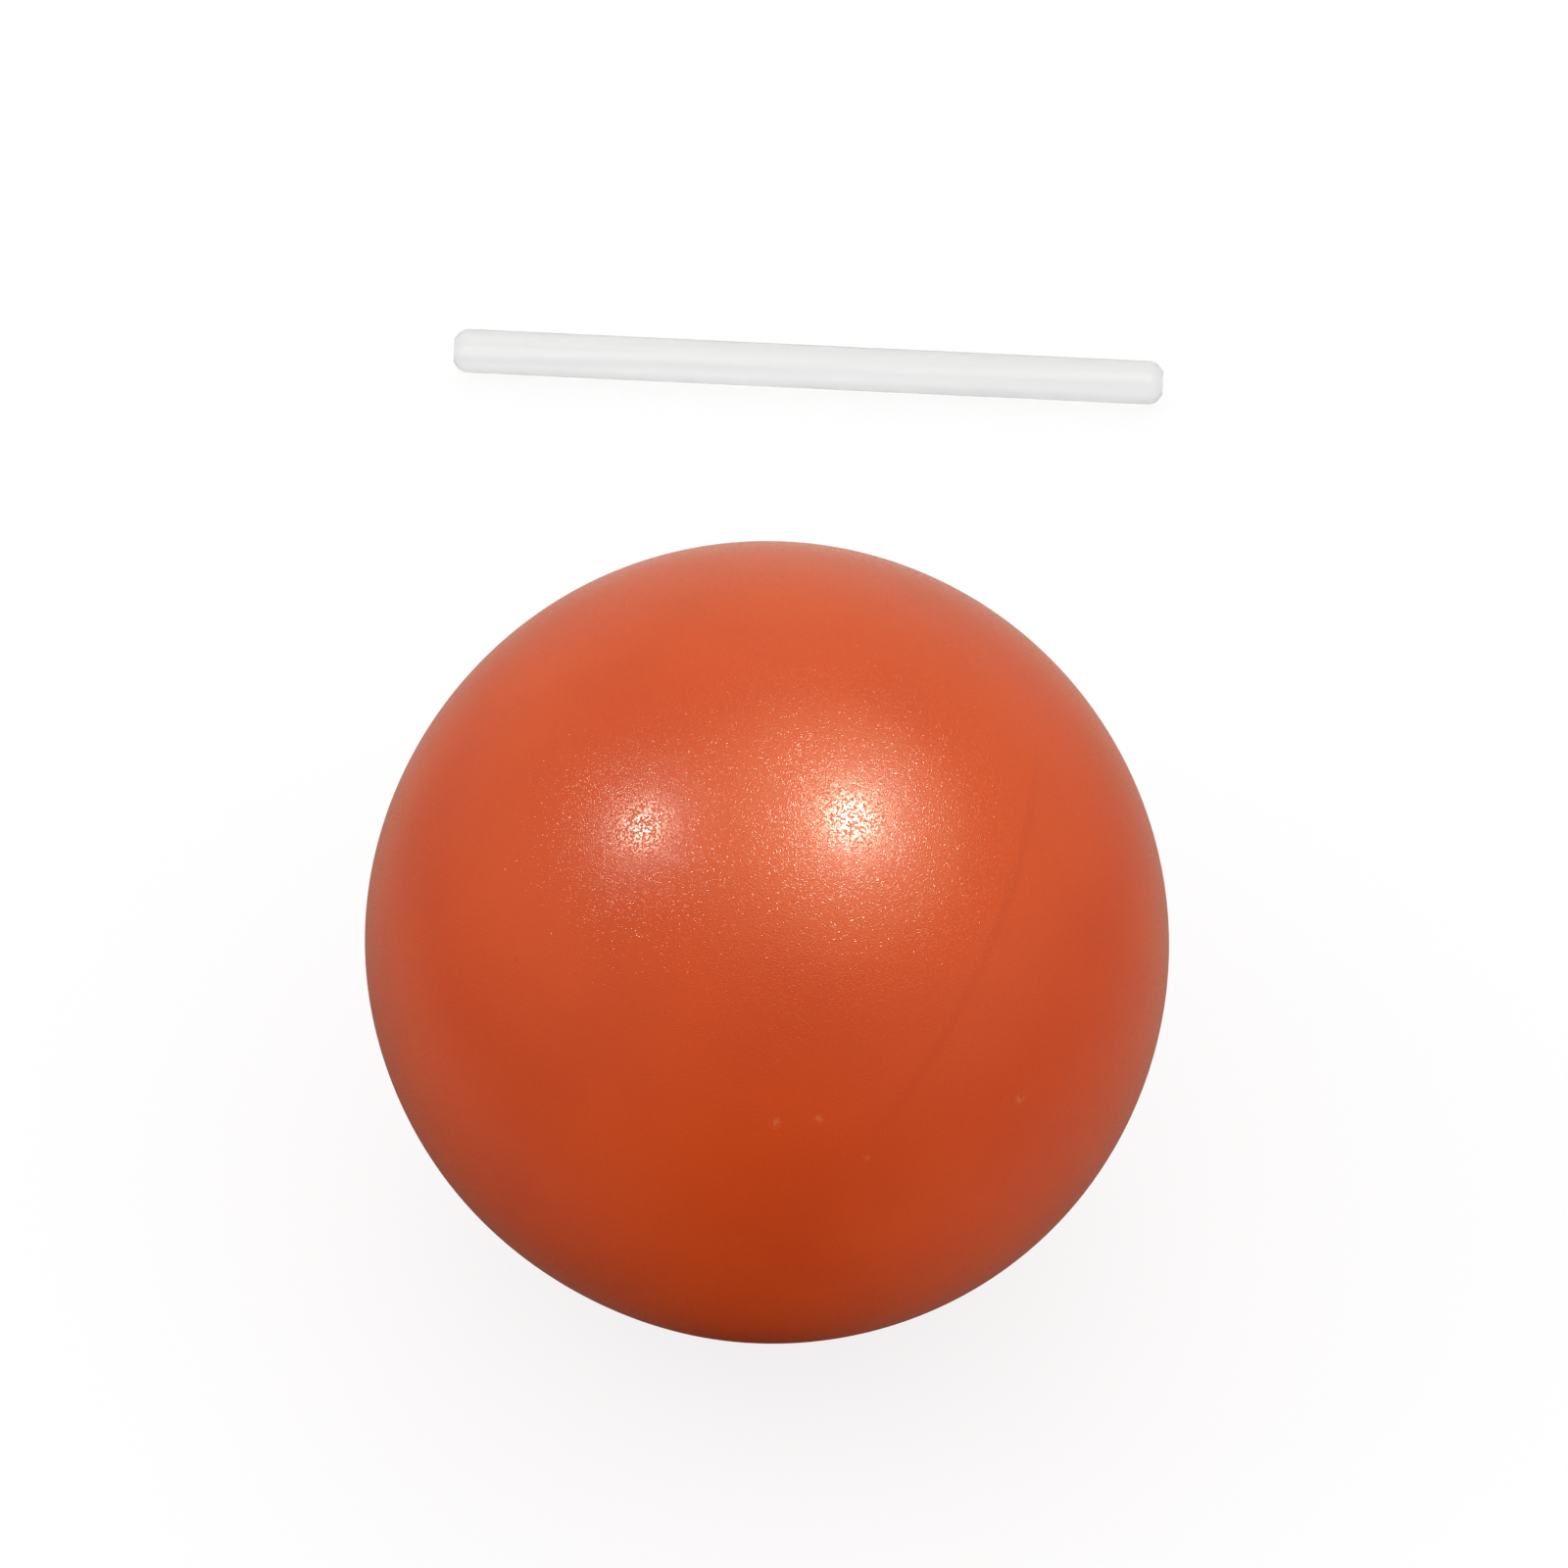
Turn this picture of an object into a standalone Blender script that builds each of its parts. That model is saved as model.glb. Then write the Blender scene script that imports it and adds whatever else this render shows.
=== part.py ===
"""Soft pilates ball at rest on a floor, with its valve, its plug and the straw that it is blown up with.

Metres, +Z up. The origin is the centre of the small flat that the ball stands on.
The valve faces +Y, and the straw lies on the floor behind the ball, along X.
"""

import math

import bpy

# Ball: a hollow skin, inflated softly, so that its own weight presses a small flat at the foot.
BALL_DIAMETER = 0.200
SKIN_WALL = 0.0008
REST_FLAT_DIAMETER = 0.030

# Straw: a tube lying parallel to X. Its ends are drawn in to rounded noses, each with an open mouth.
STRAW_LENGTH = 0.186
STRAW_DIAMETER = 0.0114
STRAW_WALL = 0.0008
STRAW_MOUTH_DIAMETER = 0.0060
STRAW_NOSE_LENGTH = 0.0029
STRAW_SPACE = 0.167  # floor left between the ball's widest point and the straw

# Valve seat: a flanged bush set in the skin. Its recess takes the plug's head or the straw's nose.
VALVE_RIM_WIDTH = 0.0022
VALVE_RIM_ROUNDING = 0.0005
VALVE_FLANGE_WIDTH = 0.0050
VALVE_FLANGE_THICKNESS = 0.0016
VALVE_NECK_WALL = 0.0020
VALVE_NECK_LENGTH = 0.0170

# Plug: a thin round head on a ribbed stem with a tapered tip.
PLUG_HEAD_THICKNESS = 0.0020
PLUG_HEAD_ROUNDING = 0.0007
PLUG_STEM_DIAMETER = 0.0044
PLUG_STEM_LENGTH = 0.0150
PLUG_RIB_HEIGHT = 0.0004
PLUG_RIB_LENGTH = 0.0012
PLUG_RIB_COUNT = 3
PLUG_TIP_LENGTH = 0.0030
PLUG_TIP_DIAMETER = 0.0026

# Clearance between pieces that seat on, fit in or slide in each other.
FIT_GAP = 0.0003

# Facets round a full turn, and along a curve.
BALL_FACETS = 60
BALL_ARC_FACETS = 30
SMALL_FACETS = 32
SMALL_ARC_FACETS = 5
WELD = 0.00001

# Sizes that follow from the ones above.
BALL_RADIUS = BALL_DIAMETER / 2
REST_FLAT_RADIUS = REST_FLAT_DIAMETER / 2
BALL_CENTRE_HEIGHT = math.sqrt(BALL_RADIUS**2 - REST_FLAT_RADIUS**2)
STRAW_RADIUS = STRAW_DIAMETER / 2
STRAW_MOUTH_RADIUS = STRAW_MOUTH_DIAMETER / 2
STRAW_DISTANCE = BALL_RADIUS + STRAW_SPACE + STRAW_RADIUS
RECESS_RADIUS = STRAW_RADIUS + FIT_GAP
PLUG_HEAD_RADIUS = RECESS_RADIUS - FIT_GAP
PLUG_STEM_RADIUS = PLUG_STEM_DIAMETER / 2
PLUG_RIB_RADIUS = PLUG_STEM_RADIUS + PLUG_RIB_HEIGHT
PLUG_TIP_RADIUS = PLUG_TIP_DIAMETER / 2
BORE_RADIUS = PLUG_RIB_RADIUS + FIT_GAP
BOSS_RADIUS = RECESS_RADIUS + VALVE_RIM_WIDTH
SKIN_HOLE_RADIUS = BOSS_RADIUS + FIT_GAP
FLANGE_RADIUS = BOSS_RADIUS + VALVE_FLANGE_WIDTH
NECK_RADIUS = BORE_RADIUS + VALVE_NECK_WALL

ORANGE_VINYL = (0.56, 0.075, 0.018)
WHITE_POLYTHENE = (0.80, 0.79, 0.76)
CLEAR_POLYPROPYLENE = (0.82, 0.83, 0.84)


def clear_scene():
    for item in list(bpy.data.objects):
        bpy.data.objects.remove(item, do_unlink=True)


def make_collection(name):
    collection = bpy.data.collections.new(name)
    bpy.context.scene.collection.children.link(collection)
    return collection


def make_material(name, colour, roughness):
    material = bpy.data.materials.new(name)
    material.use_nodes = True
    shader = material.node_tree.nodes["Principled BSDF"]
    shader.inputs["Base Color"].default_value = (*colour, 1.0)
    shader.inputs["Roughness"].default_value = roughness
    shader.inputs["Metallic"].default_value = 0.0
    return material


def make_axis(name, location, rotation, collection):
    """An empty whose Z is the line that turned pieces are built round."""
    axis = bpy.data.objects.new(name, None)
    axis.location = location
    axis.rotation_euler = rotation
    collection.objects.link(axis)
    return axis


def rounded_corner(radius, height, rounding):
    """Points (radius, height) round an outer top corner, from the top face over to the side."""
    points = []
    for step in range(SMALL_ARC_FACETS + 1):
        angle = math.pi / 2 * step / SMALL_ARC_FACETS
        points.append((radius - rounding * (1 - math.sin(angle)), height - rounding * (1 - math.cos(angle))))
    return points


def sphere_height(radius, from_axis):
    """Height on a sphere's upper half, above its centre, at a distance from its axis."""
    return math.sqrt(radius**2 - from_axis**2)


def make_turned(name, outline, facets, collection, closed):
    """A solid turned about Z from points (radius, height) that run down its outer side."""
    mesh = bpy.data.meshes.new(name)
    count = len(outline)
    edges = [(i, i + 1) for i in range(count - 1)]
    if closed:
        edges.append((count - 1, 0))
    mesh.from_pydata([(radius, 0.0, height) for radius, height in outline], edges, [])
    item = bpy.data.objects.new(name, mesh)
    collection.objects.link(item)
    turn = item.modifiers.new("turn", "SCREW")
    turn.axis = "Z"
    turn.angle = math.tau
    turn.steps = facets
    turn.render_steps = facets
    turn.use_merge_vertices = True
    turn.merge_threshold = WELD
    turn.use_smooth_shade = True
    return item


def cut(item, cutter):
    cutter.hide_render = True
    cutter.display_type = "WIRE"
    difference = item.modifiers.new(cutter.name, "BOOLEAN")
    difference.operation = "DIFFERENCE"
    difference.object = cutter


def ball_outline(radius, floor_height):
    """A sphere about the ball's centre, cut flat at floor_height, from its top down to the axis."""
    drop = math.acos((floor_height - BALL_CENTRE_HEIGHT) / radius)
    points = []
    for step in range(BALL_ARC_FACETS + 1):
        angle = drop * step / BALL_ARC_FACETS
        points.append((radius * math.sin(angle), BALL_CENTRE_HEIGHT + radius * math.cos(angle)))
    points[0] = (0.0, BALL_CENTRE_HEIGHT + radius)
    points.append((0.0, floor_height))
    return points


def make_ball_skin(parts, cutters, valve_axis, vinyl):
    """The vinyl skin: an even wall all round, with one round hole for the valve."""
    skin = make_turned("ball_skin", ball_outline(BALL_RADIUS, 0.0), BALL_FACETS, parts, closed=False)
    skin.data.materials.append(vinyl)

    air = ball_outline(BALL_RADIUS - SKIN_WALL, SKIN_WALL)
    cut(skin, make_turned("air_space", air, BALL_FACETS, cutters, closed=False))

    # The hole's cutter starts inside the ball, clear of the wall, and ends outside it.
    top = BALL_RADIUS + SKIN_HOLE_RADIUS
    bottom = BALL_RADIUS - SKIN_WALL - SKIN_HOLE_RADIUS
    hole = [(0.0, top), (SKIN_HOLE_RADIUS, top), (SKIN_HOLE_RADIUS, bottom), (0.0, bottom)]
    hole_cutter = make_turned("valve_hole", hole, SMALL_FACETS, cutters, closed=False)
    hole_cutter.parent = valve_axis
    cut(skin, hole_cutter)
    return skin


def recess_floor():
    """Height of the valve recess's floor above the ball's centre: the plug's head then lies flush."""
    return sphere_height(BALL_RADIUS, RECESS_RADIUS) - PLUG_HEAD_THICKNESS - FIT_GAP


def valve_seat_outline():
    """Flush face and boss in the skin's hole, flange against the skin's inside, neck into the air space."""
    flange_sphere = BALL_RADIUS - SKIN_WALL - FIT_GAP
    points = [(RECESS_RADIUS, sphere_height(BALL_RADIUS, RECESS_RADIUS))]
    points += rounded_corner(BOSS_RADIUS, sphere_height(BALL_RADIUS, BOSS_RADIUS), VALVE_RIM_ROUNDING)
    for step in range(SMALL_ARC_FACETS + 1):
        radius = BOSS_RADIUS + VALVE_FLANGE_WIDTH * step / SMALL_ARC_FACETS
        points.append((radius, sphere_height(flange_sphere, radius)))
    flange_underside = sphere_height(flange_sphere, FLANGE_RADIUS) - VALVE_FLANGE_THICKNESS
    neck_end = recess_floor() - VALVE_NECK_LENGTH
    points.append((FLANGE_RADIUS, flange_underside))
    points.append((NECK_RADIUS, min(flange_underside, recess_floor() - VALVE_FLANGE_THICKNESS)))
    points.append((NECK_RADIUS, neck_end))
    points.append((BORE_RADIUS, neck_end))
    points.append((BORE_RADIUS, recess_floor()))
    points.append((RECESS_RADIUS, recess_floor()))
    return points


def make_valve_seat(parts, valve_axis, vinyl):
    seat = make_turned("valve_seat", valve_seat_outline(), SMALL_FACETS, parts, closed=True)
    seat.data.materials.append(vinyl)
    seat.parent = valve_axis
    return seat


def valve_plug_outline():
    """Rounded head in the recess, then the stem with its ribs, then the tip, from the top down."""
    head_underside = recess_floor() + FIT_GAP
    head_top = head_underside + PLUG_HEAD_THICKNESS
    stem_end = head_underside - PLUG_STEM_LENGTH
    points = [(0.0, head_top)]
    points += rounded_corner(PLUG_HEAD_RADIUS, head_top, PLUG_HEAD_ROUNDING)
    points.append((PLUG_HEAD_RADIUS, head_underside))
    points.append((PLUG_STEM_RADIUS, head_underside))
    pitch = (PLUG_STEM_LENGTH - PLUG_TIP_LENGTH) / (PLUG_RIB_COUNT + 1)
    for rib in range(PLUG_RIB_COUNT):
        middle = head_underside - pitch * (rib + 1)
        points.append((PLUG_STEM_RADIUS, middle + PLUG_RIB_LENGTH / 2))
        points.append((PLUG_RIB_RADIUS, middle))
        points.append((PLUG_STEM_RADIUS, middle - PLUG_RIB_LENGTH / 2))
    points.append((PLUG_STEM_RADIUS, stem_end + PLUG_TIP_LENGTH))
    points.append((PLUG_TIP_RADIUS, stem_end))
    points.append((0.0, stem_end))
    return points


def make_valve_plug(parts, valve_axis, polythene):
    plug = make_turned("valve_plug", valve_plug_outline(), SMALL_FACETS, parts, closed=False)
    plug.data.materials.append(polythene)
    plug.parent = valve_axis
    return plug


def straw_nose(radius, length):
    """Points from the mouth's edge out to the shoulder, along an ellipse with the shoulder at height 0."""
    mouth_angle = math.acos(STRAW_MOUTH_RADIUS / radius)
    depth = length / math.sin(mouth_angle)
    points = []
    for step in range(SMALL_ARC_FACETS + 1):
        angle = mouth_angle * (1 - step / SMALL_ARC_FACETS)
        points.append((radius * math.cos(angle), depth * math.sin(angle)))
    return points


def straw_outline():
    """Outer side from the top mouth down to the bottom one, then the bore back up again."""
    shoulder = STRAW_LENGTH / 2 - STRAW_NOSE_LENGTH
    outer_nose = straw_nose(STRAW_RADIUS, STRAW_NOSE_LENGTH)
    inner_nose = straw_nose(STRAW_RADIUS - STRAW_WALL, STRAW_NOSE_LENGTH - STRAW_WALL)
    top_outer = [(radius, shoulder + height) for radius, height in outer_nose]
    top_inner = [(radius, shoulder + height) for radius, height in inner_nose]
    bottom_outer = [(radius, -height) for radius, height in reversed(top_outer)]
    bottom_inner = [(radius, -height) for radius, height in top_inner]
    return top_outer + bottom_outer + bottom_inner + list(reversed(top_inner))


def make_inflation_straw(parts, straw_axis, polypropylene):
    straw = make_turned("inflation_straw", straw_outline(), SMALL_FACETS, parts, closed=True)
    straw.data.materials.append(polypropylene)
    straw.parent = straw_axis
    return straw


def main():
    clear_scene()
    parts = make_collection("pilates_ball")
    cutters = make_collection("cutters")

    vinyl = make_material("orange_vinyl", ORANGE_VINYL, 0.42)
    polythene = make_material("white_polythene", WHITE_POLYTHENE, 0.40)
    polypropylene = make_material("clear_polypropylene", CLEAR_POLYPROPYLENE, 0.25)

    # The valve's Z points out of the ball along +Y, from the ball's centre. The straw's Z lies along +X.
    valve_axis = make_axis("valve_axis", (0.0, 0.0, BALL_CENTRE_HEIGHT), (-math.pi / 2, 0.0, 0.0), parts)
    straw_axis = make_axis("straw_axis", (0.0, STRAW_DISTANCE, STRAW_RADIUS), (0.0, math.pi / 2, 0.0), parts)

    make_ball_skin(parts, cutters, valve_axis, vinyl)
    make_valve_seat(parts, valve_axis, vinyl)
    make_valve_plug(parts, valve_axis, polythene)
    make_inflation_straw(parts, straw_axis, polypropylene)


main()
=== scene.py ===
import math

import bpy
from mathutils import Matrix, Vector, noise


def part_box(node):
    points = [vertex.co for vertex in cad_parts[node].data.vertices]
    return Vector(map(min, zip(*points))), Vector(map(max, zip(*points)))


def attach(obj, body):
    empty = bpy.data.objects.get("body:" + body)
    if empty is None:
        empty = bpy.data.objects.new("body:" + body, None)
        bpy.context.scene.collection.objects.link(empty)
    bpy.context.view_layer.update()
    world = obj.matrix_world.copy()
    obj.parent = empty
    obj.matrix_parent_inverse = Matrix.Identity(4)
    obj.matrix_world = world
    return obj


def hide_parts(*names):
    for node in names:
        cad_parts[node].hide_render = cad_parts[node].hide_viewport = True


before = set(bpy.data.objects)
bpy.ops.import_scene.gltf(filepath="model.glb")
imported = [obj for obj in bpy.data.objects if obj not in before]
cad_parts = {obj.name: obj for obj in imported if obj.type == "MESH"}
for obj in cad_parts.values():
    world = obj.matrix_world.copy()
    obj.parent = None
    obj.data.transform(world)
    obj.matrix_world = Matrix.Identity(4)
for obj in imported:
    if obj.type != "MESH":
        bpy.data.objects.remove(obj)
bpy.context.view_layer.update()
print("frame loaded:", sorted(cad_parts))

fitGap = 0.0003    # clearance that the solids leave between pieces
sharpCorner = 50   # degrees; turned corners over this stay sharp in the shading
onAxis = 1e-6      # metres; a point nearer the axis than this is on it
nodeStep = 190     # how far apart nodes stand in the editor
plainWhite = (1.0, 1.0, 1.0)


# shared tools

def place(tree, kind, inputs=None, **settings):
    # adds a node; an input is either a value or the socket that feeds it
    node = tree.nodes.new(kind)
    node.location = (nodeStep * len(tree.nodes), 0)
    for key, value in settings.items():
        setattr(node, key, value)
    for key, value in (inputs or {}).items():
        if isinstance(value, bpy.types.NodeSocket):
            tree.links.new(value, node.inputs[key])
        else:
            node.inputs[key].default_value = value
    return node


def math2(tree, operation, first, second, clamp=False):
    inputs = {0: first, 1: second}
    return place(tree, "ShaderNodeMath", inputs, operation=operation, use_clamp=clamp).outputs[0]


def vectorValue(tree, operation, *vectors):
    # a vector sum that gives one number
    node = place(tree, "ShaderNodeVectorMath", dict(enumerate(vectors)), operation=operation)
    return node.outputs["Value"]


def noiseAt(tree, vector, scale, **inputs):
    return place(tree, "ShaderNodeTexNoise", {"Vector": vector, "Scale": scale, **inputs}).outputs["Fac"]


def ramp(tree, value, low, high, toLow=0.0, toHigh=1.0):
    # smooth step from low to high
    limits = {"Value": value, "From Min": low, "From Max": high, "To Min": toLow, "To Max": toHigh}
    return place(tree, "ShaderNodeMapRange", limits, interpolation_type="SMOOTHSTEP").outputs["Result"]


def mixColours(tree, share, first, second):
    inputs = {0: share, 6: first, 7: second}
    return place(tree, "ShaderNodeMix", inputs, data_type="RGBA").outputs[2]


def opaque(colour):
    return (*colour, 1.0)


def newGroup(name, inputs, outputs):
    # an empty node group with its sockets: inputs are (name, type, starting value)
    tree = bpy.data.node_groups.new(name, "ShaderNodeTree")
    for socketName, kind, value in inputs:
        socket = tree.interface.new_socket(socketName, in_out="INPUT", socket_type=kind)
        if value is not None:
            socket.default_value = value
    for socketName in outputs:
        tree.interface.new_socket(socketName, in_out="OUTPUT", socket_type="NodeSocketFloat")
    return tree, place(tree, "NodeGroupInput"), place(tree, "NodeGroupOutput")


def useGroup(tree, group, inputs):
    return place(tree, "ShaderNodeGroup", inputs, node_tree=group).outputs


def newMaterial(name):
    # a material with its Principled shader and the coordinates of the piece
    material = bpy.data.materials.new(name)
    material.use_nodes = True
    tree = material.node_tree
    shader = tree.nodes["Principled BSDF"]
    coordinates = place(tree, "ShaderNodeTexCoord").outputs["Object"]
    return material, tree, shader, coordinates


def finishSurface(tree, shader, look, wear, height, depth):
    # roughness that follows the wear, and relief of a depth in metres
    smooth, rough = look["roughness"]
    tree.links.new(ramp(tree, wear, 0.0, 1.0, smooth, rough), shader.inputs["Roughness"])
    bump = place(tree, "ShaderNodeBump", {"Height": height, "Distance": depth, "Strength": 1.0})
    tree.links.new(bump.outputs["Normal"], shader.inputs["Normal"])


def roundOff(corners, closed, steps=6):
    # swaps each corner (radius, height, rounding) of an outline for an arc of that rounding
    points = []
    count = len(corners)
    for i, (radius, height, rounding) in enumerate(corners):
        corner = Vector((radius, height))
        if rounding <= 0 or (not closed and i in (0, count - 1)):
            points.append(corner)
            continue
        before = (Vector(corners[i - 1][:2]) - corner).normalized()
        after = (Vector(corners[(i + 1) % count][:2]) - corner).normalized()
        half = before.angle(after) / 2
        middle = corner + (before + after).normalized() * rounding / math.sin(half)
        start = corner + before * rounding / math.tan(half) - middle
        end = corner + after * rounding / math.tan(half) - middle
        turn = start.angle(end)
        for step in range(steps + 1):
            share = step / steps
            arm = start * math.sin((1 - share) * turn) + end * math.sin(share * turn)
            points.append(middle + arm / math.sin(turn))
    return points


def turnMesh(name, outline, sides, closed):
    # spins an outline of (radius, height) about Z; points on the axis become one vertex
    points, rings, faces = [], [], []
    for radius, height in outline:
        first = len(points)
        if radius < onAxis:
            points.append((0.0, 0.0, height))
            rings.append([first] * sides)
            continue
        for side in range(sides):
            angle = 2 * math.pi * side / sides
            points.append((radius * math.cos(angle), radius * math.sin(angle), height))
        rings.append(list(range(first, first + sides)))
    pairs = list(zip(rings, rings[1:])) + ([(rings[-1], rings[0])] if closed else [])
    for upper, lower in pairs:
        for side in range(sides):
            nextSide = (side + 1) % sides
            loop = [upper[side], lower[side], lower[nextSide], upper[nextSide]]
            faces.append([v for n, v in enumerate(loop) if v not in loop[:n]])
    mesh = bpy.data.meshes.new(name)
    mesh.from_pydata(points, [], faces)
    mesh.shade_smooth()
    mesh.set_sharp_from_angle(angle=math.radians(sharpCorner))
    return mesh


def addPiece(name, mesh, matrix, material, body, node):
    mesh.materials.append(material)
    piece = bpy.data.objects.new(name, mesh)
    bpy.context.scene.collection.objects.link(piece)
    piece.matrix_world = matrix
    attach(piece, body)
    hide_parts(node)
    print(f"{name}: {len(mesh.polygons)} faces")
    return piece


# effects that several finishes share

grainLook = dict(
    calmSize=2.0,              # size of the calmer places, in pebbles
    calmEdges=(0.30, 0.70),
    strongest=1.8,             # gain on the pebbles where it is least calm
)
wearLook = dict(
    cloudEdges=(0.32, 0.68),
    scratchTurn=(0.5, 0.4, 0.9),
    scratchSqueeze=(1.0, 16.0, 1.6),
    scratchEdges=(0.62, 0.72),
    scratchPatches=(0.50, 0.66),
    speckEdges=(0.05, 0.02),
    speckCells=(0.70, 0.72),   # cells below this hold no speck
)


def makeMouldedGrain():
    # pebbled surface left by the mould: soft bumps, calmer in some places than in others
    tree, start, end = newGroup(
        "moulded grain",
        [("Vector", "NodeSocketVector", None), ("Spacing", "NodeSocketFloat", 0.001)],
        ["Height"],
    )
    vector = start.outputs["Vector"]
    scale = math2(tree, "DIVIDE", 2.0, start.outputs["Spacing"])  # a noise wave spans two of its cells
    pebbles = noiseAt(tree, vector, scale, Detail=0.0)
    calm = noiseAt(tree, vector, math2(tree, "DIVIDE", scale, grainLook["calmSize"]), Detail=0.0)
    gain = ramp(tree, calm, *grainLook["calmEdges"], 0.0, grainLook["strongest"])
    level = math2(tree, "SUBTRACT", pebbles, 0.5)
    tree.links.new(math2(tree, "MULTIPLY", level, gain), end.inputs["Height"])
    return tree


def makeHandlingWear():
    # uneven tone from handling, fine scratches and a few specks of dust
    tree, start, end = newGroup(
        "handling wear",
        [("Vector", "NodeSocketVector", None), ("Cloud Size", "NodeSocketFloat", 0.05),
         ("Scratch Size", "NodeSocketFloat", 0.03), ("Speck Spacing", "NodeSocketFloat", 0.012)],
        ["Cloud", "Scratches", "Specks"],
    )
    vector = start.outputs["Vector"]
    cloudScale = math2(tree, "DIVIDE", 1.0, start.outputs["Cloud Size"])
    cloud = noiseAt(tree, vector, cloudScale, Detail=3.0, Roughness=0.55)
    tree.links.new(ramp(tree, cloud, *wearLook["cloudEdges"]), end.inputs["Cloud"])

    # a noise that is squeezed across one direction leaves long thin marks
    squeezed = place(tree, "ShaderNodeMapping", {
        "Vector": vector, "Rotation": wearLook["scratchTurn"], "Scale": wearLook["scratchSqueeze"],
    }).outputs["Vector"]
    scratchScale = math2(tree, "DIVIDE", 1.0, start.outputs["Scratch Size"])
    lines = noiseAt(tree, squeezed, scratchScale, Detail=2.0, Roughness=0.6, Distortion=0.4)
    patches = noiseAt(tree, vector, scratchScale)
    scratches = math2(tree, "MULTIPLY", ramp(tree, lines, *wearLook["scratchEdges"]),
                      ramp(tree, patches, *wearLook["scratchPatches"]))
    tree.links.new(scratches, end.inputs["Scratches"])

    speckScale = math2(tree, "DIVIDE", 1.0, start.outputs["Speck Spacing"])
    cells = place(tree, "ShaderNodeTexVoronoi", {"Vector": vector, "Scale": speckScale}).outputs
    sparse = place(tree, "ShaderNodeSeparateColor", {"Color": cells["Color"]}).outputs[0]
    dots = math2(tree, "MULTIPLY", ramp(tree, cells["Distance"], *wearLook["speckEdges"]),
                 ramp(tree, sparse, *wearLook["speckCells"]))
    tree.links.new(dots, end.inputs["Specks"])
    return tree


mouldedGrain = makeMouldedGrain()
handlingWear = makeHandlingWear()
print("shared effects built:", mouldedGrain.name, "and", handlingWear.name)


# ball skin

ball = dict(
    restFlat=0.015,         # radius of the flat that it stands on
    flatEdge=0.0004,        # how softly the flat runs into the round
    wall=0.0008,
    valveHole=0.0085,       # radius
    partingTilt=40.7,       # lean of the mould's parting line about the valve's axis, degrees
    partingHeight=0.00002,
    partingWidth=0.0015,
    sag=0.0005,             # how far the soft skin is out of round
    sagWaves=1.1,
    valveHold=0.35,         # angle from the valve within which the skin is held round
    # and where it bulges or falls in by more, from the ball's centre
    bulges=(
        dict(towards=(0.73, -0.52, -0.45), swell=0.0007, spread=0.50),
        dict(towards=(-0.46, -0.69, -0.57), swell=-0.0005, spread=0.35),
        dict(towards=(0.98, 0.18, 0.13), swell=0.0003, spread=0.50),
        dict(towards=(-1.00, -0.07, -0.04), swell=0.0004, spread=0.35),
    ),
    rings=130,
    holeSteps=(0.0, 0.0003, 0.0009),  # finer rings at the valve's hole
    meridians=220,
    seamSteps=(0.0004, 0.0008, 0.0013, 0.0019, 0.0027, 0.0036),  # finer ones beside the parting line
    orange=(0.605, 0.059, 0.0040),
    deepOrange=(0.56, 0.051, 0.0032),
    cloudSize=0.05,         # size of the patches of deeper orange
    roughness=(0.21, 0.23),
    grainSpacing=0.00065,
    grainHeight=0.00008,
    lustre=1.40,            # index of refraction
    # dirt on the parting line: where it shows most, how far it reaches across and along, and its share
    soilTowards=(0.54, -0.53, 0.66),
    soilAcross=(0.0024, 0.0003),
    soilAlong=(0.78, 0.95),
    soilShare=0.30,
    soilTone=(0.50, 0.042, 0.0028),
    # marks from use: where they are from the ball's centre, and how far they reach
    scuffs=(
        dict(towards=(0.055, -0.911, 0.409), reach=0.0024),
        dict(towards=(0.160, -0.896, 0.414), reach=0.0019),
        dict(towards=(0.651, -0.701, 0.291), reach=0.0022),
        dict(towards=(0.281, -0.914, 0.293), reach=0.0012),
    ),
    scuffShare=0.5,
    scuffTone=(0.66, 0.17, 0.075),
    stains=(
        dict(towards=(-0.790, -0.202, 0.579), reach=0.0009),
        dict(towards=(-0.601, -0.563, 0.567), reach=0.0011),
    ),
    stainShare=0.6,
    stainDepth=0.6,         # share of the orange that is left in a stain
    markScale=900.0,        # how ragged the marks are
    markEdges=(0.38, 0.60),
)

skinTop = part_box("ball_skin")[1].z
ballRadius = (skinTop**2 + ball["restFlat"]**2) / (2 * skinTop)
ballCentre = Vector((0.0, 0.0, skinTop - ballRadius))
tilt = math.radians(ball["partingTilt"])
seamNormal = Vector((math.cos(tilt), 0.0, -math.sin(tilt)))
seamUp = Vector((math.sin(tilt), 0.0, math.cos(tilt)))
valveOut = Vector((0.0, 1.0, 0.0))


def faceHeight(fromAxis):
    # height of the ball's face above its centre, at a distance from the valve's axis
    return math.sqrt(ballRadius**2 - fromAxis**2)


def skinPoint(polar, around):
    # a point of the outer face, from the ball's centre; polar is the angle from the valve's axis
    across = seamUp * math.cos(around) + seamNormal * math.sin(around)
    direction = valveOut * math.cos(polar) + across * math.sin(polar)
    fromSeam = ballRadius * direction.dot(seamNormal)
    ridge = ball["partingHeight"] * math.exp(-(fromSeam / ball["partingWidth"])**2)
    slack = 1 - math.exp(-(polar / ball["valveHold"])**2)
    sag = ball["sag"] * noise.noise(direction * ball["sagWaves"]) * slack
    for bulge in ball["bulges"]:
        aside = direction.angle(Vector(bulge["towards"])) / bulge["spread"]
        sag += bulge["swell"] * math.exp(-aside**2)
    point = direction * (ballRadius + ridge + sag)
    floor, soft = -ballCentre.z, ball["flatEdge"]
    above = point.z - floor
    if above < soft:
        point.z = floor + (max(above + soft, 0.0)**2) / (4 * soft)
    return point


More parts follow.
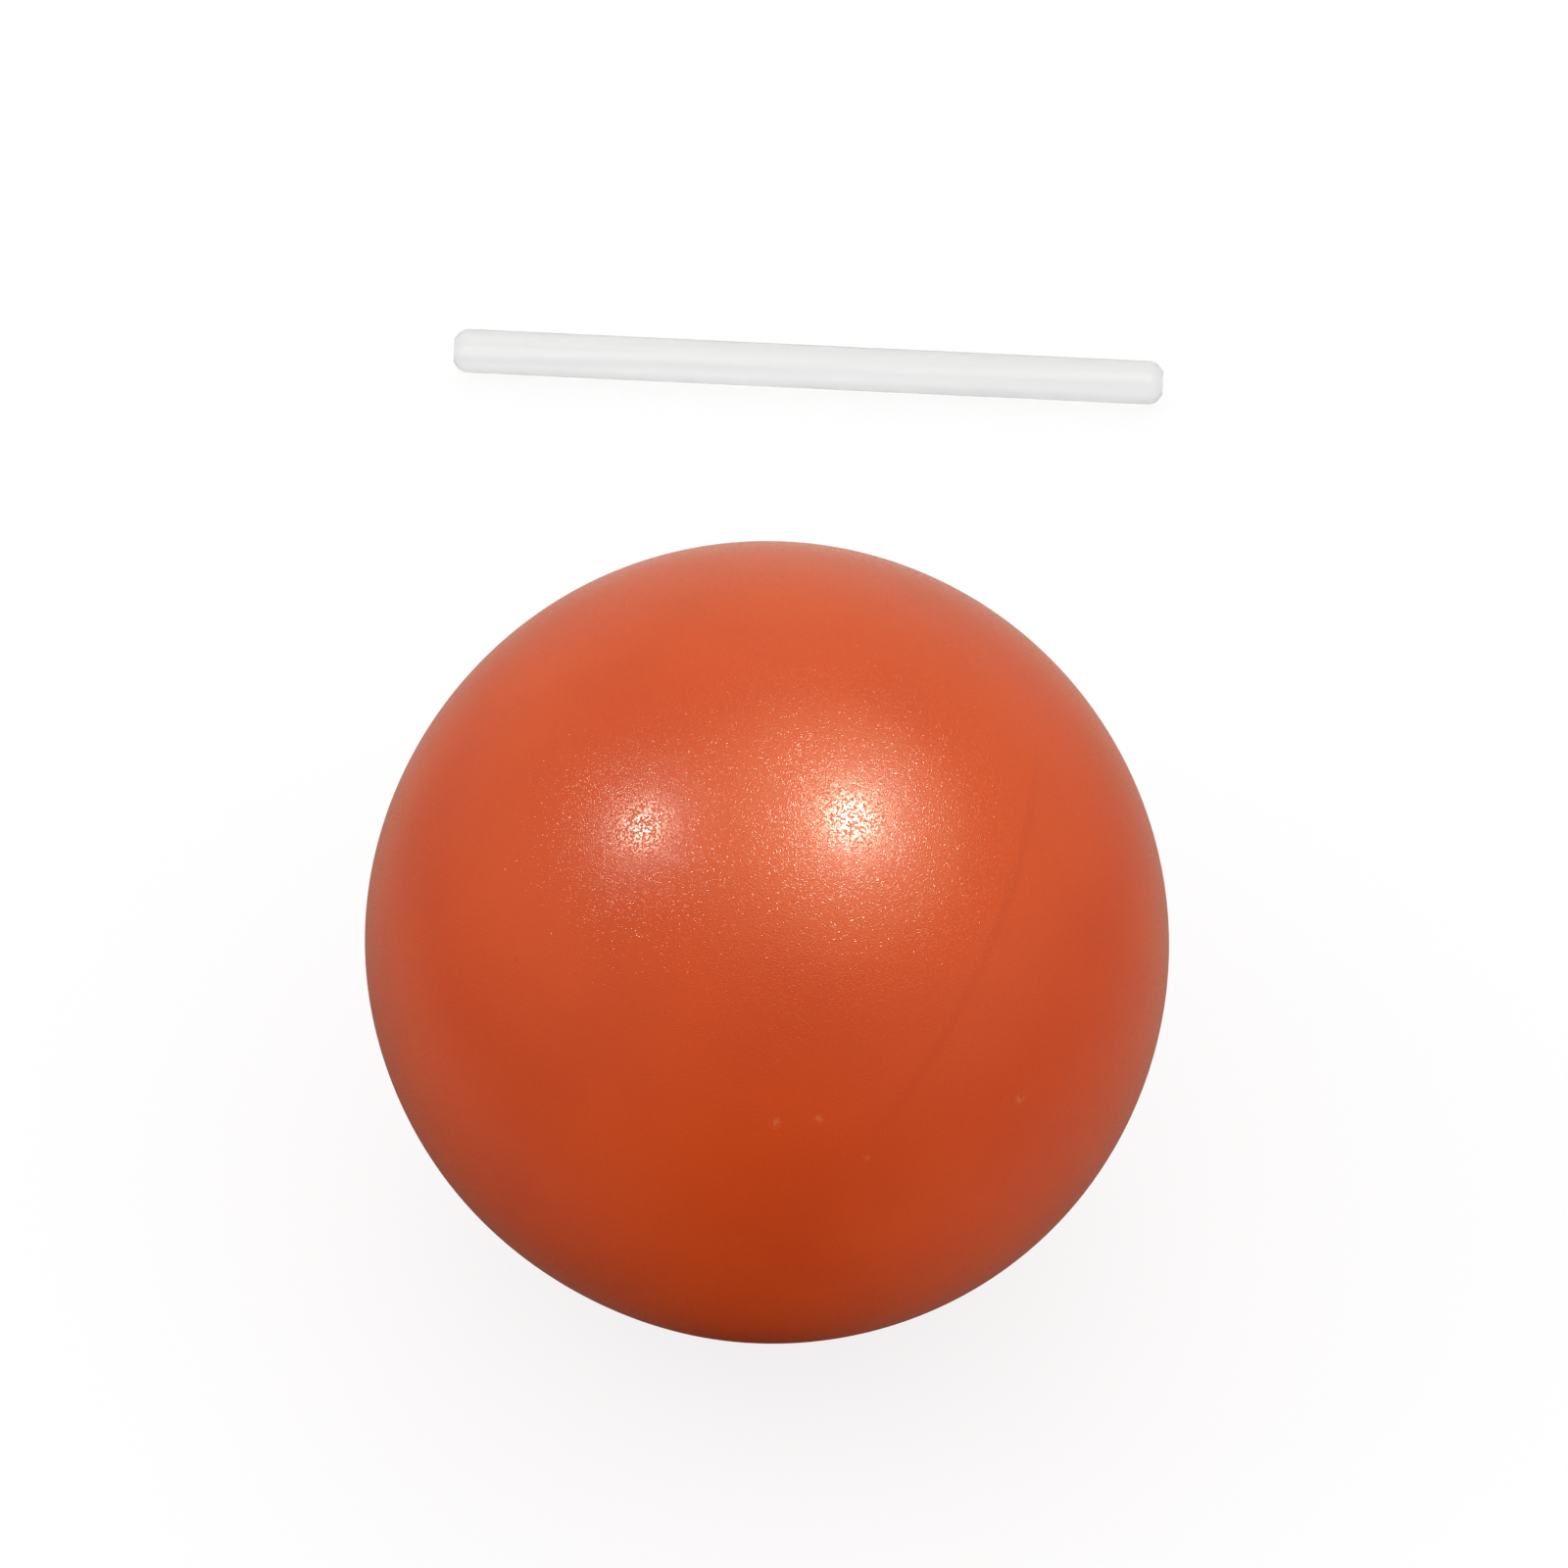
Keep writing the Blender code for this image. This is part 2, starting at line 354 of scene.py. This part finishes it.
def skinMeridians():
    # angles around the valve's axis, finer beside the parting line on both sides of the ball
    steps = [step / ballRadius for step in ball["seamSteps"]]
    fine = [-step for step in reversed(steps)] + [0.0] + steps
    count = ball["meridians"] // 2
    span = math.pi - 2 * steps[-1]
    half = fine + [steps[-1] + span * i / count for i in range(1, count)]
    return half + [angle + math.pi for angle in half]


def skinRings():
    # angles from the valve's axis, finer at the hole
    first = math.asin(ball["valveHole"] / ballRadius)
    span = math.pi - first
    fine = [first + step / ballRadius for step in ball["holeSteps"]]
    return fine + [first + span * row / ball["rings"] for row in range(1, ball["rings"])]


def makeSkinMesh():
    around, polars = skinMeridians(), skinRings()
    points, faces = [], []
    for polar in polars:
        points += [skinPoint(polar, angle) for angle in around]
    points.append(skinPoint(math.pi, 0.0))
    rows, sides = len(polars), len(around)
    for row in range(rows):
        upper, lower = row * sides, (row + 1) * sides
        for side in range(sides):
            nextSide = (side + 1) % sides
            if row < rows - 1:
                faces.append((upper + side, lower + side, lower + nextSide, upper + nextSide))
            else:
                faces.append((upper + side, len(points) - 1, upper + nextSide))
    mesh = bpy.data.meshes.new("ball_skin_soft")
    mesh.from_pydata(points, [], faces)
    mesh.shade_smooth()
    return mesh


def markMask(tree, coordinates, marks, share):
    # soft ragged spots on the skin, and how strongly they show
    ragged = noiseAt(tree, coordinates, ball["markScale"], Detail=1.0)
    mask = 0.0
    for mark in marks:
        spot = Vector(mark["towards"]).normalized() * ballRadius
        away = vectorValue(tree, "DISTANCE", coordinates, spot)
        mask = math2(tree, "MAXIMUM", mask, ramp(tree, away, mark["reach"], 0.0))
    spots = math2(tree, "MULTIPLY", mask, ramp(tree, ragged, *ball["markEdges"]))
    return math2(tree, "MULTIPLY", spots, share)


def soilMask(tree, coordinates):
    # the parting line has picked up a little dirt
    fromSeam = vectorValue(tree, "DOT_PRODUCT", coordinates, seamNormal)
    distance = place(tree, "ShaderNodeMath", {0: fromSeam}, operation="ABSOLUTE").outputs[0]
    towards = Vector(ball["soilTowards"]).normalized() / ballRadius
    along = vectorValue(tree, "DOT_PRODUCT", coordinates, towards)
    return math2(tree, "MULTIPLY", ramp(tree, distance, *ball["soilAcross"]),
                 ramp(tree, along, *ball["soilAlong"], 0.0, ball["soilShare"]))


def makeOrangeVinyl():
    material, tree, shader, coordinates = newMaterial("orange vinyl")
    grain = useGroup(tree, mouldedGrain, {"Vector": coordinates, "Spacing": ball["grainSpacing"]})
    wear = useGroup(tree, handlingWear, {"Vector": coordinates, "Cloud Size": ball["cloudSize"]})
    colour = mixColours(tree, wear["Cloud"], opaque(ball["orange"]), opaque(ball["deepOrange"]))
    scuffs = markMask(tree, coordinates, ball["scuffs"], ball["scuffShare"])
    colour = mixColours(tree, scuffs, colour, opaque(ball["scuffTone"]))
    colour = mixColours(tree, soilMask(tree, coordinates), colour, opaque(ball["soilTone"]))
    stains = markMask(tree, coordinates, ball["stains"], ball["stainShare"])
    stainTone = [ball["stainDepth"] * channel for channel in ball["orange"]]
    colour = mixColours(tree, stains, colour, opaque(stainTone))
    tree.links.new(colour, shader.inputs["Base Color"])
    finishSurface(tree, shader, ball, wear["Cloud"], grain["Height"], ball["grainHeight"])
    shader.inputs["IOR"].default_value = ball["lustre"]
    return material


skin = addPiece("ball_skin_soft", makeSkinMesh(), Matrix.Translation(ballCentre), makeOrangeVinyl(),
                "ball", "ball_skin")
wall = skin.modifiers.new("skin wall", "SOLIDIFY")
wall.thickness = ball["wall"]
wall.offset = -1.0


# valve seat

valve = dict(
    rimWidth=0.0022,
    rimRounding=0.0004,
    grooveDepth=0.00015,    # fine ring turned into the rim
    grooveWidth=0.0005,
    grooveRounding=0.0001,
    flangeThickness=0.0016,
    flangeRounding=0.0004,
    neckWall=0.0020,
    neckFillet=0.0008,
    recessFillet=0.0003,
    bore=0.0029,            # radius
    boreChamfer=0.0005,
    edgeRounding=0.0002,    # of the other edges
    sides=96,
    orange=(0.57, 0.056, 0.0042),
    deepOrange=(0.52, 0.049, 0.0034),
    cloudSize=0.006,
    scratchSize=0.008,
    scratchShare=0.25,
    roughness=(0.30, 0.40),
    grainSpacing=0.0006,    # the same vinyl, from a polished tool, so only a trace of the grain
    grainHeight=0.00003,
)
plug = dict(
    headThickness=0.0020,
    headRounding=0.0006,
    underRounding=0.0003,
    dishDepth=0.00035,
    dishRim=0.0011,         # flat ring left round the dish
    dishSlope=0.0006,
    dishFillet=0.0004,
    dishRounding=0.0003,
    gateRadius=0.0006,      # stub left where the mould was filled
    gateHeight=0.0002,
    gateRounding=0.00008,
    gateFillet=0.0001,
    stem=0.0022,            # radius
    stemFillet=0.0004,
    stemLength=0.0150,
    ribHeight=0.0004,
    ribLength=0.0012,
    ribRounding=0.0002,
    ribCount=3,
    tipLength=0.0030,
    tip=0.0013,             # radius
    tipShoulder=0.0006,
    tipRounding=0.0005,
    sides=80,
    white=(0.80, 0.79, 0.76),
    shade=(0.74, 0.73, 0.69),
    cloudSize=0.005,
    scratchSize=0.006,
    speckSpacing=0.003,
    speckShare=0.5,
    speckTone=(0.35, 0.32, 0.28),
    roughness=(0.38, 0.50),
    grainSpacing=0.0004,
    grainHeight=0.00002,
    lustre=1.5,             # index of refraction
    milkiness=0.15,         # share of the light that spreads under the surface
    milkDepth=(0.0015, 0.0014, 0.0012),
)

plugLow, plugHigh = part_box("valve_plug")
seatLow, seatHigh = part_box("valve_seat")
headRadius = (plugHigh.x - plugLow.x) / 2
headTop = plugHigh.y
headUnderside = headTop - plug["headThickness"]
recessFloor = headUnderside - fitGap
recess = headRadius + fitGap
boss = recess + valve["rimWidth"]
flange = (seatHigh.x - seatLow.x) / 2
neck = valve["bore"] + valve["neckWall"]
neckEnd = seatLow.y
# Z points out of the valve
valveMatrix = Matrix.Translation(ballCentre) @ Matrix.Rotation(-math.pi / 2, 4, "X")


def seatOutline():
    rim = (recess + boss) / 2
    groove = valve["grooveWidth"] / 2
    flangeFace = ballRadius - ball["wall"] - fitGap
    flangeTop = math.sqrt(flangeFace**2 - flange**2)
    underside = flangeTop - valve["flangeThickness"]
    neckTop = min(underside, recessFloor - valve["flangeThickness"])
    chamfer = valve["boreChamfer"]
    return roundOff([
        (recess, faceHeight(recess), valve["rimRounding"]),
        (rim - groove, faceHeight(rim - groove), valve["grooveRounding"]),
        (rim, faceHeight(rim) - valve["grooveDepth"], valve["grooveRounding"]),
        (rim + groove, faceHeight(rim + groove), valve["grooveRounding"]),
        (boss, faceHeight(boss), valve["rimRounding"]),
        (boss, math.sqrt(flangeFace**2 - boss**2), valve["edgeRounding"]),
        (flange, flangeTop, valve["flangeRounding"]),
        (flange, underside, valve["flangeRounding"]),
        (neck, neckTop, valve["neckFillet"]),
        (neck, neckEnd, valve["flangeRounding"]),
        (valve["bore"], neckEnd, valve["flangeRounding"]),
        (valve["bore"], recessFloor - chamfer, valve["edgeRounding"]),
        (valve["bore"] + chamfer, recessFloor, valve["edgeRounding"]),
        (recess, recessFloor, valve["recessFillet"]),
    ], closed=True)


def makeValveVinyl():
    material, tree, shader, coordinates = newMaterial("valve vinyl")
    grain = useGroup(tree, mouldedGrain, {"Vector": coordinates, "Spacing": valve["grainSpacing"]})
    wear = useGroup(tree, handlingWear, {
        "Vector": coordinates, "Cloud Size": valve["cloudSize"], "Scratch Size": valve["scratchSize"],
    })
    tone = mixColours(tree, wear["Cloud"], opaque(valve["orange"]), opaque(valve["deepOrange"]))
    scratches = math2(tree, "MULTIPLY", wear["Scratches"], valve["scratchShare"])
    colour = mixColours(tree, scratches, tone, opaque(ball["scuffTone"]))
    tree.links.new(colour, shader.inputs["Base Color"])
    finishSurface(tree, shader, valve, wear["Cloud"], grain["Height"], valve["grainHeight"])
    shader.inputs["IOR"].default_value = ball["lustre"]
    return material


seatMesh = turnMesh("valve_seat_ring", seatOutline(), valve["sides"], closed=True)
addPiece("valve_seat_ring", seatMesh, valveMatrix, makeValveVinyl(), "ball", "valve_seat")


# valve plug

def plugOutline():
    dish = headRadius - plug["dishRim"]
    dishFloor = headTop - plug["dishDepth"]
    gateTop = dishFloor + plug["gateHeight"]
    corners = [
        (0.0, gateTop, 0),
        (plug["gateRadius"], gateTop, plug["gateRounding"]),
        (plug["gateRadius"] + plug["gateFillet"], dishFloor, plug["gateFillet"]),
        (dish - plug["dishSlope"], dishFloor, plug["dishFillet"]),
        (dish, headTop, plug["dishRounding"]),
        (headRadius, headTop, plug["headRounding"]),
        (headRadius, headUnderside, plug["underRounding"]),
        (plug["stem"], headUnderside, plug["stemFillet"]),
    ]
    pitch = (plug["stemLength"] - plug["tipLength"]) / (plug["ribCount"] + 1)
    for rib in range(plug["ribCount"]):
        middle = headUnderside - pitch * (rib + 1)
        corners += [
            (plug["stem"], middle + plug["ribLength"] / 2, plug["ribRounding"]),
            (plug["stem"] + plug["ribHeight"], middle, plug["ribRounding"]),
            (plug["stem"], middle - plug["ribLength"] / 2, plug["ribRounding"]),
        ]
    stemEnd = headUnderside - plug["stemLength"]
    corners += [
        (plug["stem"], stemEnd + plug["tipLength"], plug["tipShoulder"]),
        (plug["tip"], stemEnd, plug["tipRounding"]),
        (0.0, stemEnd, 0),
    ]
    return roundOff(corners, closed=False)


def makeWhitePolythene():
    material, tree, shader, coordinates = newMaterial("white polythene")
    grain = useGroup(tree, mouldedGrain, {"Vector": coordinates, "Spacing": plug["grainSpacing"]})
    wear = useGroup(tree, handlingWear, {
        "Vector": coordinates, "Cloud Size": plug["cloudSize"], "Scratch Size": plug["scratchSize"],
        "Speck Spacing": plug["speckSpacing"],
    })
    tone = mixColours(tree, wear["Cloud"], opaque(plug["white"]), opaque(plug["shade"]))
    specks = math2(tree, "MULTIPLY", wear["Specks"], plug["speckShare"])
    colour = mixColours(tree, specks, tone, opaque(plug["speckTone"]))
    tree.links.new(colour, shader.inputs["Base Color"])
    finishSurface(tree, shader, plug, wear["Scratches"], grain["Height"], plug["grainHeight"])
    shader.inputs["IOR"].default_value = plug["lustre"]
    shader.inputs["Subsurface Weight"].default_value = plug["milkiness"]
    shader.inputs["Subsurface Radius"].default_value = plug["milkDepth"]
    shader.inputs["Subsurface Scale"].default_value = 1.0
    return material


plugMesh = turnMesh("valve_plug_moulded", plugOutline(), plug["sides"], closed=False)
addPiece("valve_plug_moulded", plugMesh, valveMatrix, makeWhitePolythene(),
         "plug", "valve_plug")


# inflation straw

straw = dict(
    wall=0.0008,
    mouth=0.0027,           # radius
    noseLength=0.0040,
    noseSteps=14,
    lipRounding=0.0002,
    lipSteps=4,
    sides=72,
    milk=(0.938, 0.939, 0.942),
    shade=(0.898, 0.899, 0.902),
    drawn=0.02,             # how far the streaks and lines are stretched along the tube; less is longer
    streaks=420.0,
    streakEdges=(0.36, 0.64),
    lines=900.0,
    lineHeight=0.00006,
    cloudSize=0.02,
    roughness=(0.30, 0.36),
    lustre=1.19,            # index of refraction
    clearness=0.97,         # transmission
)
strawLow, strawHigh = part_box("inflation_straw")
strawRadius = (strawHigh.z - strawLow.z) / 2
strawLength = strawHigh.x - strawLow.x
# Z points along the straw
strawMatrix = Matrix.Translation((strawLow + strawHigh) / 2) @ Matrix.Rotation(math.pi / 2, 4, "Y")


def strawNose(radius, length):
    # quarter ellipse from the mouth's edge to the shoulder, cut off where it reaches the mouth
    mouthAngle = math.acos(straw["mouth"] / radius)
    depth = length / math.sin(mouthAngle)
    points = []
    for step in range(straw["noseSteps"] + 1):
        angle = mouthAngle * (1 - step / straw["noseSteps"])
        points.append((radius * math.cos(angle), depth * math.sin(angle)))
    return points


def strawOutline():
    shoulder = strawLength / 2 - straw["noseLength"]
    inside = strawRadius - straw["wall"]
    outer = [(r, shoulder + h, 0) for r, h in strawNose(strawRadius, straw["noseLength"])]
    inner = [(r, shoulder + h, 0) for r, h in strawNose(inside, straw["noseLength"] - straw["wall"])]
    outer[0] = (*outer[0][:2], straw["lipRounding"])
    inner[0] = (*inner[0][:2], straw["lipRounding"])
    farOuter = [(r, -h, rounding) for r, h, rounding in reversed(outer)]
    farInner = [(r, -h, rounding) for r, h, rounding in inner]
    return roundOff(outer + farOuter + farInner + inner[::-1], closed=True, steps=straw["lipSteps"])


def makeMilkyPolypropylene():
    # drawn tube, so its streaks and lines run along it
    material, tree, shader, coordinates = newMaterial("milky polypropylene")
    wear = useGroup(tree, handlingWear, {"Vector": coordinates, "Cloud Size": straw["cloudSize"]})
    stretch = {"Vector": coordinates, "Scale": (1.0, 1.0, straw["drawn"])}
    along = place(tree, "ShaderNodeMapping", stretch).outputs["Vector"]
    streaks = ramp(tree, noiseAt(tree, along, straw["streaks"], Detail=1.0), *straw["streakEdges"])
    colour = mixColours(tree, streaks, opaque(straw["milk"]), opaque(straw["shade"]))
    tree.links.new(colour, shader.inputs["Base Color"])
    lines = noiseAt(tree, along, straw["lines"], Detail=2.0)
    finishSurface(tree, shader, straw, wear["Cloud"], lines, straw["lineHeight"])
    shader.inputs["IOR"].default_value = straw["lustre"]
    shader.inputs["Transmission Weight"].default_value = straw["clearness"]
    return material


strawMesh = turnMesh("inflation_straw_tube", strawOutline(), straw["sides"], closed=True)
addPiece("inflation_straw_tube", strawMesh, strawMatrix, makeMilkyPolypropylene(),
         "straw", "inflation_straw")


# floor, light and camera

studio = dict(
    floorHalf=6.0,
    floorDrop=0.0002,
    floorPaint=(0.34, 0.34, 0.34),  # what its light bounces off
    floorPale=(0.95, 0.95, 0.95),   # and what the camera sees, with the shadows on it
    floorWhite=0.80,             # share of plain white in that
    floorThrough=0.98,           # and in what shows through the straw
    fill=plainWhite,             # the light from all round
    # the room in the gloss
    roomTint=(1.0, 0.97, 0.66),
    upGain=0.30,                 # how much brighter it is towards the ceiling
    frontDim=0.80,               # how much darker on the camera's side
    frontPower=3.0,              # how closely that keeps to straight in front
    # the floor in the gloss, by its distance from the ball's foot in metres: a painted shadow of the
    # ball round its foot, painted shade in front of it and painted light further off and behind
    floorTint=(1.0, 0.97, 0.80),
    # level of the painted shadow at the ball's foot
    paintedFootShadow=0.12,
    nearGain=0.38,
    nearReach=(0.06, 0.25),
    farGain=0.30,
    farReach=(0.5, 1.8),
    paintedBackLight=0.22,               # painted light straight behind the ball
    backReach=(0.15, 0.40),
    backPower=8.0,
    paintedFrontShade=0.75,               # painted shade straight in front of the ball
    floorPower=6.0,
    floorLean=0.015,             # how far the ball's shade lies to the left
)
# soft lamps light the surfaces; the bulbs and the glow round them only show in the gloss
lamps = dict(
    rightBox=dict(towards=(0.90, -0.30, 0.12), distance=1.6, radius=0.50, power=3.9,
                  colour=(1.0, 0.99, 0.97), gloss=False),
    leftBox=dict(towards=(-0.75, 0.0, 0.65), distance=1.6, radius=0.50, power=2.6,
                 colour=(1.0, 0.99, 0.97), gloss=False),
    backBox=dict(towards=(0.0, 0.75, 0.65), distance=1.6, radius=0.50, power=2.3,
                 colour=(1.0, 0.99, 0.97), gloss=False),
    rightBulb=dict(towards=(0.356, -0.037, 0.918), distance=1.2, radius=0.07, power=15.0,
                   colour=(1.0, 0.97, 0.80), gloss=True),
    rightHalo=dict(towards=(0.356, -0.037, 0.918), distance=1.22, radius=0.22, power=1.6,
                   colour=(1.0, 0.97, 0.80), gloss=True),
    rightGlow=dict(towards=(0.356, -0.037, 0.918), distance=1.25, radius=0.75, power=10.5,
                   colour=(1.0, 0.95, 0.55), gloss=True),
    wideGlow=dict(towards=(0.20, -0.10, 0.97), distance=1.3, radius=1.05, power=12.0,
                  colour=(1.0, 0.95, 0.55), gloss=True),
    leftBulb=dict(towards=(-0.525, -0.070, 0.795), distance=1.2, radius=0.035, power=7.6,
                  colour=(1.0, 0.97, 0.80), gloss=True),
)


def partsOf(tree, vector):
    # how much of a direction lies to the right, behind the ball and upwards
    unit = place(tree, "ShaderNodeVectorMath", {0: vector}, operation="NORMALIZE").outputs[0]
    return place(tree, "ShaderNodeSeparateXYZ", {0: unit}).outputs


def onlyAbove(tree, part, sign=1.0):
    # a part of a direction on one side alone, zero on the other
    return math2(tree, "MAXIMUM", math2(tree, "MULTIPLY", part, sign), 0.0)


def scaleAndAdd(tree, value, scale, more):
    inputs = {0: value, 1: scale, 2: more}
    return place(tree, "ShaderNodeMath", inputs, operation="MULTIPLY_ADD").outputs[0]


def loss(tree, share, power, most):
    # one, less a share raised to a power
    lost = math2(tree, "MULTIPLY", math2(tree, "POWER", share, power), most)
    return math2(tree, "SUBTRACT", 1.0, lost)


def wallLevel(tree, direction):
    parts = partsOf(tree, direction)
    front = onlyAbove(tree, parts["Y"], -1.0)
    gain = scaleAndAdd(tree, onlyAbove(tree, parts["Z"]), studio["upGain"], 1.0)
    return math2(tree, "MULTIPLY", gain, loss(tree, front, studio["frontPower"], studio["frontDim"]))


# painted shade on the floor as the gloss sees it: the ball's painted shadow round its foot, painted
# shade in front and painted light far off and behind
def paintedFloorShade(tree, where):
    parts = partsOf(tree, where)
    front, back = onlyAbove(tree, parts["Y"], -1.0), onlyAbove(tree, parts["Y"])
    away = vectorValue(tree, "LENGTH", where)
    shifted = scaleAndAdd(tree, parts["X"], studio["floorLean"], away)
    foot = studio["paintedFootShadow"]
    near = ramp(tree, shifted, *studio["nearReach"], foot, foot + studio["nearGain"])
    far = ramp(tree, away, *studio["farReach"], 0.0, studio["farGain"])
    clear = ramp(tree, away, *studio["backReach"], 0.0, studio["paintedBackLight"])
    behind = math2(tree, "MULTIPLY", math2(tree, "POWER", back, studio["backPower"]), clear)
    level = math2(tree, "ADD", math2(tree, "ADD", near, far), behind)
    return math2(tree, "MULTIPLY", level, loss(tree, front, studio["floorPower"], studio["paintedFrontShade"]))


def tinted(tree, colour, level):
    return place(tree, "ShaderNodeVectorMath", {0: colour, "Scale": level}, operation="SCALE").outputs[0]


def makeFloor():
    half = studio["floorHalf"]
    corners = [(-half, -half, 0), (half, -half, 0), (half, half, 0), (-half, half, 0)]
    mesh = bpy.data.meshes.new("floor")
    mesh.from_pydata(corners, [], [(0, 1, 2, 3)])
    floor = bpy.data.objects.new("floor", mesh)
    floor.location.z = -studio["floorDrop"]
    bpy.context.scene.collection.objects.link(floor)
    material = bpy.data.materials.new("pale floor")
    material.use_nodes = True
    tree = material.node_tree
    tree.nodes.clear()
    path = place(tree, "ShaderNodeLightPath").outputs
    mirrored = math2(tree, "SUBTRACT", path["Is Glossy Ray"], path["Is Transmission Ray"], clamp=True)
    straight = math2(tree, "MULTIPLY", path["Is Camera Ray"], studio["floorWhite"])
    through = math2(tree, "MULTIPLY", path["Is Transmission Ray"], studio["floorThrough"])
    share = math2(tree, "MAXIMUM", math2(tree, "MAXIMUM", straight, through), mirrored)
    where = place(tree, "ShaderNodeTexCoord").outputs["Object"]
    # what the gloss sees of the floor carries the painted shadow and shade of the ball
    gloss = tinted(tree, studio["floorTint"], paintedFloorShade(tree, where))
    shown = mixColours(tree, mirrored, opaque(plainWhite), gloss)
    tone = mixColours(tree, path["Is Camera Ray"], opaque(studio["floorPaint"]),
                      opaque(studio["floorPale"]))
    paint = place(tree, "ShaderNodeBsdfDiffuse", {"Color": tone})
    glow = place(tree, "ShaderNodeEmission", {"Color": shown, "Strength": 1.0})
    mix = place(tree, "ShaderNodeMixShader", {0: share, 1: paint.outputs[0], 2: glow.outputs[0]})
    place(tree, "ShaderNodeOutputMaterial", {"Surface": mix.outputs[0]})
    material.cycles.emission_sampling = "NONE"  # its white is only to be looked at
    mesh.materials.append(material)


def makeWorld():
    world = bpy.data.worlds.new("studio")
    bpy.context.scene.world = world
    world.cycles.sampling_method = "NONE"  # rays that leave a surface find it by themselves
    world.use_nodes = True
    tree = world.node_tree
    tree.nodes.clear()
    path = place(tree, "ShaderNodeLightPath").outputs
    seen = math2(tree, "MAXIMUM", path["Is Camera Ray"], path["Is Transmission Ray"])
    direction = place(tree, "ShaderNodeTexCoord").outputs["Generated"]
    room = tinted(tree, studio["roomTint"], wallLevel(tree, direction))
    lit = mixColours(tree, path["Is Glossy Ray"], opaque(studio["fill"]), room)
    colour = mixColours(tree, seen, lit, opaque(plainWhite))
    background = place(tree, "ShaderNodeBackground", {"Color": colour, "Strength": 1.0})
    place(tree, "ShaderNodeOutputWorld", {"Surface": background.outputs[0]})


def makeLamps():
    for name, lamp in lamps.items():
        light = bpy.data.lights.new(name + " lamp", "AREA")
        light.shape = "DISK"
        light.size = 2 * lamp["radius"]
        light.energy = lamp["power"]
        light.color = lamp["colour"]
        item = bpy.data.objects.new(name + " lamp", light)
        towards = Vector(lamp["towards"]).normalized()
        turned = towards.to_track_quat("Z", "Y").to_matrix().to_4x4()
        item.matrix_world = Matrix.Translation(ballCentre + towards * lamp["distance"]) @ turned
        item.visible_diffuse = not lamp["gloss"]
        item.visible_glossy = lamp["gloss"]
        item.visible_transmission = not lamp["gloss"]
        bpy.context.scene.collection.objects.link(item)


view = dict(
    elevation=50.0,
    azimuth=1.27,
    roll=1.73,
    distance=5.0,
    farthest=50.0,          # metres
    sensor=36.0,            # millimetres
    photoSide=1600,         # pixels
    ballAt=(783.0, 961.5),  # where the photograph has the ball's centre
    ballAcross=409.1,       # and its radius, in pixels
)


def makeCamera():
    elevation, azimuth, roll = (math.radians(view[key]) for key in ("elevation", "azimuth", "roll"))
    level = math.cos(elevation)
    ahead = Vector((-math.sin(azimuth) * level, math.cos(azimuth) * level, -math.sin(elevation)))
    right = Vector((math.cos(azimuth), math.sin(azimuth), 0.0))
    up = right.cross(ahead)
    turn = Matrix.Rotation(-roll, 3, ahead)
    right, up = turn @ right, turn @ up
    focus = view["ballAcross"] * math.sqrt(view["distance"]**2 - ballRadius**2) / ballRadius  # pixels
    metresPerPixel = view["distance"] / focus
    middle = view["photoSide"] / 2
    aim = ballCentre + right * (middle - view["ballAt"][0]) * metresPerPixel \
        + up * (view["ballAt"][1] - middle) * metresPerPixel
    lens = bpy.data.cameras.new("camera")
    lens.sensor_width = view["sensor"]
    lens.lens = view["sensor"] * focus / view["photoSide"]
    lens.clip_end = view["farthest"]
    camera = bpy.data.objects.new("camera", lens)
    bpy.context.scene.collection.objects.link(camera)
    turned = Matrix((right, up, -ahead)).transposed().to_4x4()
    camera.matrix_world = Matrix.Translation(aim - ahead * view["distance"]) @ turned
    bpy.context.scene.camera = camera


makeFloor()
makeWorld()
makeLamps()
makeCamera()
bpy.context.scene.view_settings.view_transform = "Standard"
print("studio ready")
